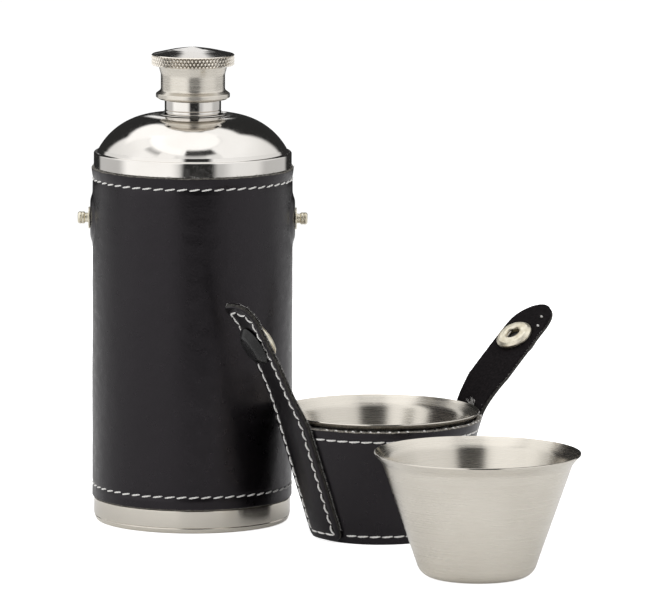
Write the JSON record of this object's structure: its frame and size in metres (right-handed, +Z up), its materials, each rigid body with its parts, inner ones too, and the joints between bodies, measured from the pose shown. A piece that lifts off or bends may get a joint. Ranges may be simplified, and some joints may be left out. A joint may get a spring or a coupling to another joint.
{
  "type": "hunting flask with cups",
  "caption": "Round leather-covered steel flask with a screw cap and side studs, plus a strapped leather case that holds flared steel cups and snaps on upside down over the cap.",
  "frame": {"origin": "centre of the flask's underside, on the surface that the flask, the case and the cups stand on", "axes": "+Z up the flask, +X along the stud on the side where the case stands, -Y towards the loose cup"},
  "size_m": [0.1481, 0.1577, 0.1426],
  "materials": {
    "polished_steel": "mirror polished stainless steel",
    "brushed_steel": "satin stainless steel, brushed round",
    "nickel_plate": "nickel-plated brass",
    "spring_wire": "spring wire",
    "black_enamel": "black enamel over a pressed steel cap",
    "black_leather": "smooth finished leather with a soft sheen",
    "black_suede": "suede split leather",
    "white_thread": "waxed white sewing thread",
    "seal_rubber": "translucent soft washer"
  },
  "bodies": {
    "flask": {"bottle_base": "polished_steel", "bottle_tube": "polished_steel", "shoulder_dome": "polished_steel", "neck": "polished_steel", "neck_flange": "polished_steel", "leather_sleeve": "black_leather", "stud_right": "nickel_plate", "stud_left": "nickel_plate", "stud_washer_right": "nickel_plate", "stud_washer_left": "nickel_plate", "stud_backing_right": "nickel_plate", "stud_backing_left": "nickel_plate"},
    "cap_seal": {"cap_seal": "seal_rubber"},
    "cap": {"cap_skirt": "brushed_steel", "cap_head": "polished_steel"},
    "case": {"case_wall": "black_leather", "case_lining": "black_suede", "case_base": "black_leather", "strap_left_root": "black_leather", "strap_right_root": "black_leather"},
    "strap_left": {"strap_left_tab": "black_leather", "strap_left_tab_lining": "black_suede", "snap_cap_left": "black_enamel", "snap_socket_left": "nickel_plate", "snap_spring_left": "spring_wire"},
    "strap_right": {"strap_right_tab": "black_leather", "strap_right_tab_lining": "black_suede", "snap_cap_right": "black_enamel", "snap_socket_right": "nickel_plate", "snap_spring_right": "spring_wire"},
    "cup_stowed": {"cup_stowed": "brushed_steel"},
    "cup_loose": {"cup_loose": "brushed_steel"}
  },
  "joints": [
    {"name": "cap_lift", "type": "slide", "parent": "flask", "child": "cap_seal", "axis": [0, 0, 1], "range_m": [0, 0.00876]},
    {"name": "cap_turn", "type": "hinge", "parent": "cap_seal", "child": "cap", "pos_m": [0, 0, 0.132], "axis": [0, 0, 1], "range_deg": [0, 1260]},
    {"name": "case_lift", "type": "slide", "parent": "flask", "child": "case", "axis": [0, 0, 1], "range_m": [0, 0.12]},
    {"name": "strap_left_flex", "type": "hinge", "parent": "case", "child": "strap_left", "pos_m": [0.03024, -0.04644, 0.03519], "axis": [0.5835, -0.8121, 0], "range_deg": [-25, 50]},
    {"name": "strap_right_flex", "type": "hinge", "parent": "case", "child": "strap_right", "pos_m": [0.08367, -0.01292, 0.03519], "axis": [-0.4772, 0.8788, 0], "range_deg": [-30, 35]},
    {"name": "cup_stowed_lift", "type": "slide", "parent": "case", "child": "cup_stowed", "axis": [0, 0, 1], "range_m": [0, 0.06]},
    {"name": "cup_loose_lift", "type": "slide", "parent": "flask", "child": "cup_loose", "axis": [0, 0, 1], "range_m": [0, 0.08]}
  ],
  "couplings": [
    {"joint": "cap_lift", "follows": "cap_turn", "m_per_rad": 0.00039789}
  ]
}
